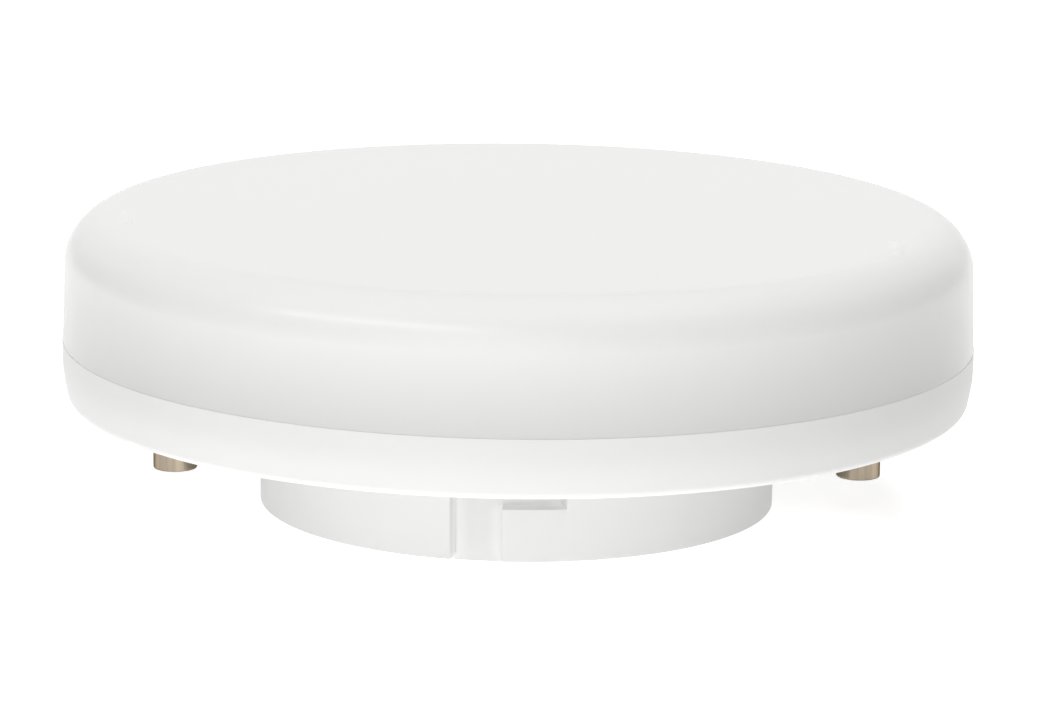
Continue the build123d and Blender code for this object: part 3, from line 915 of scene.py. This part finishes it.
def part_bare(name, finish, body, bare_where, roughness, **inputs):
    """Moulded or lacquered body with bare tin where a mask is 1; both come from the tree."""
    material, tree, shader = new_material(name, **inputs)
    bare = bare_where(tree)
    surface = placed(tree, moulded_grain, Flow=300.0)
    tree.links.new(mix(tree, bare, body(tree), finish.tin), shader.inputs["Base Color"])
    tree.links.new(bare, shader.inputs["Metallic"])
    vary_gloss(tree, shader, surface.outputs["Mottle"], 0.85 * roughness, 1.15 * roughness)
    bump(tree, shader, surface.outputs["Height"], 6 * MICRON)
    return material


def can_sleeve(node, finish, inner):
    """Capacitor: dark sleeve with a plain pale stripe, bare end and tinned wires."""
    low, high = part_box(node)
    stripe_x = (low.x + high.x) / 2 + (high.x - low.x) * inner.stripe_place

    def sleeve(tree):
        stripe = calculate(tree, "GREATER_THAN", place_along(tree, "X"), stripe_x)
        return mix(tree, stripe, finish.sleeve, finish.sleeve_stripe)

    def bare(tree):
        return outside(tree, "Y", low.y + inner.can_round, high.y - inner.wire_out - inner.wire_d / 2)

    return part_bare(node, finish, sleeve, bare, 0.28, IOR=1.5)


def lacquered_resistor(finish, inner):
    """Fuse resistor: lacquer with plain bands, and tinned wires."""
    low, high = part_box("fuse_resistor")
    middle = (low.x + high.x) / 2
    half = (high.x - low.x - inner.wire_d) / 2 - inner.wire_out

    def lacquer(tree):
        tone = finish.lacquer
        for place, stripe in ((-1, finish.sleeve), (0, finish.nickel), (1, finish.sleeve)):
            band = middle + place * half * inner.band_pitch
            reach = half * inner.band_w / 2
            tone = mix(tree, outside(tree, "X", band - reach, band + reach), stripe, tone)
        return tone

    def wires(tree):
        return outside(tree, "X", middle - half, middle + half)

    return part_bare("resistor_body", finish, lacquer, wires, 0.3)


def moulded_chip(node, finish, inner):
    """Moulded chip: matt black, with tinned legs beyond its long sides."""
    low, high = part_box(node)

    def legs(tree):
        return outside(tree, "Y", low.y + inner.chip_leg_out, high.y - inner.chip_leg_out)

    return part_bare(node, finish, lambda tree: finish.black, legs, 0.55)


def capped_resistors(finish):
    """Flat chip resistors: black glaze, with tinned end faces."""

    def ends(tree):
        return calculate(tree, "GREATER_THAN", facing(tree, "Y"), SQUARE_ON)

    return part_bare("chip_resistors", finish, lambda tree: finish.black, ends, 0.3)


def led_frames(finish, inner):
    """LED packages: white frames, each with a yellow phosphor window."""
    material, tree, shader = new_material("led_frame", IOR=1.5)
    window_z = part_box("led_packages")[1].z - inner.led_window_t
    apart = outside(tree, "Z", window_z - inner.led_window_t / 2, window_z + inner.led_window_t / 2)
    up = calculate(tree, "GREATER_THAN", facing(tree, "Z"), SQUARE_ON)
    window = calculate(tree, "MULTIPLY", up, calculate(tree, "SUBTRACT", 1.0, apart))
    surface = placed(tree, moulded_grain, Grain=9000.0, Flow=900.0)
    grain = remap(tree, surface.outputs["Mottle"], to_high=0.35)
    phosphor = mix(tree, grain, finish.phosphor, finish.white)
    tree.links.new(mix(tree, window, finish.white, phosphor), shader.inputs["Base Color"])
    vary_gloss(tree, shader, window, 0.45, 0.2)
    bump(tree, shader, surface.outputs["Height"], 5 * MICRON)
    return material


def coil_mesh(inner):
    """Winding of the choke: turns of round wire side by side on the drum."""
    low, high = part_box("choke_winding")
    pitch = (high.z - low.z) / inner.coil_turns
    outer_r, bore_r = (high.x - low.x) / 2, inner.coil_bore / 2
    outline = [(bore_r, low.z)]
    for i in range(inner.coil_turns):
        for k in range(WIRE_ROWS + 1):
            lift = pi * (k / WIRE_ROWS - 0.5)
            reach = outer_r - pitch / 2 * (1 - cos(lift))
            outline.append((reach, low.z + pitch * (i + 0.5 + sin(lift) / 2)))
    outline.append((bore_r, high.z))
    return upright(list(dict.fromkeys(outline)), (low + high) / 2, COIL_COLUMNS)


def dress(node, material):
    """Give a part that keeps its own shape its finish."""
    for slot in frame["nodes"][node].material_slots:
        slot.material = material


# Operators


class LAMP_OT_cover(bpy.types.Operator):
    """Model the opal cover with its snap lugs and index marks"""

    bl_idname = "lamp.cover"
    bl_label = "Opal Cover"

    def execute(self, context):
        form, finish = context.scene.lamp_form, context.scene.lamp_finish
        z = levels(form)
        cover = new_object("opal_cover", cover_mesh(form))
        sweep = form.snap_w / z.spigot_r
        inner_r, outer_r = z.spigot_r - form.rooted, z.spigot_r + form.snap_reach
        lugs = [
            ring_piece(inner_r, outer_r, z.snap_z, z.snap_z + form.snap_h, turn - sweep / 2, sweep)
            for turn in even_turns(form.snap_count, pi / form.snap_count)
        ]
        combine(cover, "UNION", lugs)
        marks = [
            index_mark(form, form.mark_left, form.mark_left_r),
            index_mark(form, form.mark_right, form.mark_right_r, form.mark_right_twist),
        ]
        combine(cover, "UNION", marks)
        # Heights where the cover's painted shade starts and where its colour reaches full white
        shoulder_z = z.top_z - form.cover_edge_r
        light_z = z.top_z - form.cover_edge_r * finish.opal_full
        material = opal_plastic(finish, z.seam_z, shoulder_z, light_z, z.top_z)
        finish_piece(cover, "diffuser_cover", material)
        return {"FINISHED"}


class LAMP_OT_base(bpy.types.Operator):
    """Model the white base with its boss and key grooves"""

    bl_idname = "lamp.base"
    bl_label = "White Base"

    def execute(self, context):
        form, finish = context.scene.lamp_form, context.scene.lamp_finish
        # The base's colour carries painted light in its narrow recesses.
        material = moulded_plastic(
            "white_base", finish.white, finish.white_roughness, recess=finish.white_recess, IOR=1.52
        )
        finish_piece(base_piece(form), "base_housing", material)
        return {"FINISHED"}


class LAMP_OT_pins(bpy.types.Operator):
    """Model the two turned contact pins"""

    bl_idname = "lamp.pins"
    bl_label = "Contact Pins"

    def execute(self, context):
        form, finish = context.scene.lamp_form, context.scene.lamp_finish
        # On the pins the dark streaks are partly turning marks and partly painted reflection bands.
        turned = {"worn": 0.55, "pitch": 1.1 * MM, "Specular_Tint": (*finish.nickel_edge, 1.0)}
        gloss = finish.nickel_roughness
        material = streaked_metal("nickel_pin", finish.nickel, gloss, 4 * MICRON, **turned)
        for side in ("left", "right"):
            node = f"contact_pin_{side}"
            pin = new_object(f"turned_pin_{side}", pin_mesh(form, *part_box(node)))
            finish_piece(pin, node, material)
        return {"FINISHED"}


class LAMP_OT_stack(bpy.types.Operator):
    """Finish the insulating film, heat spreader, LED board, LEDs and screws"""

    bl_idname = "lamp.stack"
    bl_label = "LED Stack"

    def execute(self, context):
        finish, inner = context.scene.lamp_finish, context.scene.lamp_inner
        dress("insulating_film", moulded_plastic("clear_film", finish.film, 0.32, grain=900.0, mottle=0.08))
        rolled = {"stretch": (0.02, 1.0, 1.0), "pitch": 0.6 * MM}
        plate = streaked_metal("aluminium_plate", finish.aluminium, 0.34, 5 * MICRON, **rolled)
        dress("heat_spreader", plate)
        dress("led_board", board_mask("white_board", finish.white, 45.0, 0.4))
        dress("led_packages", led_frames(finish, inner))
        turned = {"stretch": (0.02, 0.02, 1.0), "pitch": 0.2 * MM}
        dress("board_screws", streaked_metal("steel_screw", finish.zinc, 0.3, 8 * MICRON, **turned))
        return {"FINISHED"}


class LAMP_OT_driver(bpy.types.Operator):
    """Finish the driver board and its components, and wind the choke"""

    bl_idname = "lamp.driver"
    bl_label = "Driver"

    def execute(self, context):
        finish, inner = context.scene.lamp_finish, context.scene.lamp_inner
        dress("driver_board", board_mask("green_board", finish.board, 130.0, 0.3))
        for node in ("smoothing_capacitor", "output_capacitor"):
            dress(node, can_sleeve(node, finish, inner))
        pressed = {"grain": 4000.0, "depth": 20 * MICRON, "mottle": 0.3}
        dress("choke_core", moulded_plastic("ferrite", finish.ferrite, 0.6, **pressed))
        enamel = {"Coat_Weight": 0.6, "Coat_Roughness": 0.1}
        wire = streaked_metal("copper_wire", finish.copper, 0.26, 4 * MICRON, **enamel)
        finish_piece(new_object("wound_coil", coil_mesh(inner)), "choke_winding", wire)
        dress("fuse_resistor", lacquered_resistor(finish, inner))
        dipped = {"grain": 700.0, "depth": 20 * MICRON, "mottle": 0.2}
        dress("film_capacitor", moulded_plastic("film_capacitor_body", finish.resin, 0.18, **dipped))
        for node in ("bridge_rectifier", "driver_chip", "freewheel_diode"):
            dress(node, moulded_chip(node, finish, inner))
        dress("chip_resistors", capped_resistors(finish))
        return {"FINISHED"}


class LAMP_OT_leads(bpy.types.Operator):
    """Finish the insulated leads"""

    bl_idname = "lamp.leads"
    bl_label = "Leads"

    def execute(self, context):
        finish = context.scene.lamp_finish
        tones = {"white_lead": finish.white, "red_lead": finish.red, "black_lead": finish.black}
        for slot, tone in tones.items():
            material = moulded_plastic(slot, tone, 0.42, grain=3000.0, depth=10 * MICRON, mottle=0.1)
            for subpart in frame["record"]["subparts"]:
                if subpart["material_slot"] == slot:
                    dress(subpart["node"], material)
        return {"FINISHED"}


NEUTRAL, WARM = (1.0, 1.0, 1.0), (1.0, 0.98, 0.93)
STUDIO_LIGHTS = (
    # name, azimuth, elevation, width, height, watts, colour, shows in the gloss
    ("Top panel", 0, 90, 1.4, 1.4, 9.5, NEUTRAL, False),
    ("Back panel", 180, 60, 1.2, 0.6, 2.3, NEUTRAL, False),
    ("Key softbox", -40, 43, 1.2, 0.1, 2.0, NEUTRAL, True),
    ("Low front panel", -6, 15, 0.9, 0.5, 3.1, NEUTRAL, False),
    ("Right panel", 90, 72, 0.9, 0.6, 1.8, WARM, False),
)
LIGHT_DISTANCE = 1.2
FLOOR_SIZE = 6.0


def seen_ray(tree):
    """1 for rays that the camera or a reflection sees, 0 for light on the object."""
    path = tree.nodes.new("ShaderNodeLightPath")
    seen = calculate(tree, "MAXIMUM", path.outputs["Is Camera Ray"], path.outputs["Is Glossy Ray"])
    return calculate(tree, "MAXIMUM", seen, path.outputs["Is Transmission Ray"])


def studio_world():
    """White where it is seen, and no light on the object."""
    world = bpy.data.worlds.new("studio")
    world.use_nodes = True
    tree = world.node_tree
    backdrop = tree.nodes["Background"]
    backdrop.inputs["Color"].default_value = (1, 1, 1, 1)
    tree.links.new(seen_ray(tree), backdrop.inputs["Strength"])
    return world


def studio_floor(studio):
    """Pale lit floor that also glows as a painted pool of light, brightest in front, lighting the lamp from
    below; white where it is seen outside the lamp's shadow.
    """
    material, tree, shader = new_material("floor", Roughness=0.9, Specular_IOR_Level=0.0)
    shader.inputs["Base Color"].default_value = (*studio.floor, 1.0)
    apart = tree.nodes.new("ShaderNodeVectorMath")
    apart.operation = "DISTANCE"
    apart.inputs[1].default_value = at(studio.floor_ahead, studio.floor_turn, 0)
    tree.links.new(on_object(tree), apart.inputs[0])
    # Painted pool of light: the floor glows brightest in front and less further out, and this glow lights
    # the lamp.
    ranges = (studio.floor_pool, studio.floor_fade, studio.floor_glow, studio.floor_glow_far)
    pool = remap(tree, apart.outputs["Value"], *ranges)
    lift = remap(tree, seen_ray(tree), to_low=pool, to_high=studio.floor_lift)
    glow = add(tree, "ShaderNodeEmission", Color=(1, 1, 1, 1))
    tree.links.new(lift, glow.inputs["Strength"])
    both = tree.nodes.new("ShaderNodeAddShader")
    tree.links.new(shader.outputs[0], both.inputs[0])
    tree.links.new(glow.outputs[0], both.inputs[1])
    tree.links.new(both.outputs[0], tree.nodes["Material Output"].inputs["Surface"])
    return material


class LAMP_OT_studio(bpy.types.Operator):
    """Set up the floor, the light and the camera"""

    bl_idname = "lamp.studio"
    bl_label = "Studio"

    def execute(self, context):
        scene, studio = context.scene, context.scene.lamp_studio
        mesh = bmesh.new()
        bmesh.ops.create_grid(mesh, x_segments=1, y_segments=1, size=FLOOR_SIZE / 2)
        floor = new_object("floor", mesh)
        floor.data.materials.append(studio_floor(studio))
        scene.world = studio_world()
        target = Vector((0, 0, BASE_HIGH.z))
        for name, azimuth, elevation, width, height, watts, tint, glossy in STUDIO_LIGHTS:
            light = bpy.data.lights.new(name, "AREA")
            light.shape = "RECTANGLE"
            light.size, light.size_y, light.energy, light.color = width, height, watts, tint
            lamp = bpy.data.objects.new(name, light)
            up = radians(elevation)
            away = at(cos(up), radians(azimuth), sin(up))
            lamp.location = target + away * LIGHT_DISTANCE
            lamp.rotation_euler = away.to_track_quat("Z", "Y").to_euler()
            lamp.visible_camera = False
            lamp.visible_glossy = glossy
            scene.collection.objects.link(lamp)
        camera = bpy.data.objects.new("camera", bpy.data.cameras.new("camera"))
        camera.data.lens = studio.lens
        camera.data.shift_x, camera.data.shift_y = studio.shift_x, studio.shift_y
        camera.data.clip_start = 0.01
        turn = Matrix.Rotation(pi / 2 - studio.elevation, 4, "X") @ Matrix.Rotation(studio.roll, 4, "Z")
        away = at(cos(studio.elevation), 0, sin(studio.elevation))
        camera.matrix_world = Matrix.Translation(target + away * studio.distance) @ turn
        scene.collection.objects.link(camera)
        scene.camera = camera
        scene.view_settings.view_transform = "Standard"
        return {"FINISHED"}


class LAMP_PT_panel(bpy.types.Panel):
    """The lamp's pieces and studio, in the order they are made"""

    bl_idname = "LAMP_PT_panel"
    bl_label = "Disc Lamp"
    bl_space_type = "VIEW_3D"
    bl_region_type = "UI"
    bl_category = "Disc Lamp"

    def draw(self, context):
        for operator in OPERATORS:
            self.layout.operator(operator.bl_idname)


OPERATORS = (
    LAMP_OT_cover,
    LAMP_OT_base,
    LAMP_OT_pins,
    LAMP_OT_stack,
    LAMP_OT_driver,
    LAMP_OT_leads,
    LAMP_OT_studio,
)
GROUPS = (
    ("lamp_form", LampForm),
    ("lamp_finish", LampFinish),
    ("lamp_inner", LampInner),
    ("lamp_studio", LampStudio),
)


def register():
    for name, group in GROUPS:
        bpy.utils.register_class(group)
        setattr(bpy.types.Scene, name, PointerProperty(type=group))
    for operator in OPERATORS:
        bpy.utils.register_class(operator)
    bpy.utils.register_class(LAMP_PT_panel)


def unregister():
    bpy.utils.unregister_class(LAMP_PT_panel)
    for operator in reversed(OPERATORS):
        bpy.utils.unregister_class(operator)
    for name, group in reversed(GROUPS):
        delattr(bpy.types.Scene, name)
        bpy.utils.unregister_class(group)


def main():
    register()
    bpy.ops.lamp.cover()
    bpy.ops.lamp.base()
    bpy.ops.lamp.pins()
    bpy.ops.lamp.stack()
    bpy.ops.lamp.driver()
    bpy.ops.lamp.leads()
    bpy.ops.lamp.studio()


if __name__ == "__main__":
    main()
